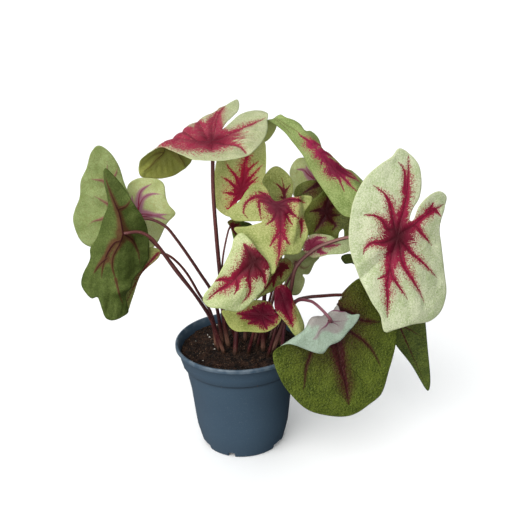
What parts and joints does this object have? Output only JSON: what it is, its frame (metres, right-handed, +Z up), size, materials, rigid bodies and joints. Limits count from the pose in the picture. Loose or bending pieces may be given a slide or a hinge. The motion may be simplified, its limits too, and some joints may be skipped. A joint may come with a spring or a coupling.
{
  "type": "potted caladium",
  "caption": "Caladium with heart-shaped leaves of pale green and crimson on slender arching stalks, growing from soil in a tapered pot.",
  "frame": {"origin": "centre of the pot's base, on the ground", "axes": "+Z up along the pot's axis, +X to the side on which the largest leaf hangs, -Y to the front"},
  "size_m": [0.3258, 0.16, 0.3092],
  "materials": {
    "pot": "slate blue moulded plastic with a soft sheen",
    "soil": "dark damp peat with fibres and a few white perlite grains",
    "tuber": "rough brown cork skin",
    "stalk": "smooth dark maroon skin, paler toward the blade",
    "leaf": "pale green with a crimson flush along the veins, soft sheen"
  },
  "bodies": {
    "root": {"blade_back_dark": "leaf", "blade_back_high": "leaf", "blade_back_small": "leaf", "blade_centre_back": "leaf", "blade_centre_drooping": "leaf", "blade_centre_left": "leaf", "blade_centre_low": "leaf", "blade_centre_small": "leaf", "blade_inner_low": "leaf", "blade_inner_round": "leaf", "blade_inner_slim": "leaf", "blade_left_back": "leaf", "blade_left_front": "leaf", "blade_left_high": "leaf", "blade_left_narrow": "leaf", "blade_low_right": "leaf", "blade_lower_right_folded": "leaf", "blade_mid_low": "leaf", "blade_mid_right": "leaf", "blade_right_front": "leaf", "blade_top": "leaf", "blade_upper_right": "leaf", "pot": "pot", "soil": "soil", "stalk_back_dark": "stalk", "stalk_back_high": "stalk", "stalk_back_small": "stalk", "stalk_centre_back": "stalk", "stalk_centre_drooping": "stalk", "stalk_centre_left": "stalk", "stalk_centre_low": "stalk", "stalk_centre_small": "stalk", "stalk_inner_low": "stalk", "stalk_inner_round": "stalk", "stalk_inner_slim": "stalk", "stalk_left_back": "stalk", "stalk_left_front": "stalk", "stalk_left_high": "stalk", "stalk_left_narrow": "stalk", "stalk_low_right": "stalk", "stalk_lower_right_folded": "stalk", "stalk_mid_low": "stalk", "stalk_mid_right": "stalk", "stalk_right_front": "stalk", "stalk_top": "stalk", "stalk_upper_right": "stalk", "tuber": "tuber"}
  },
  "joints": []
}
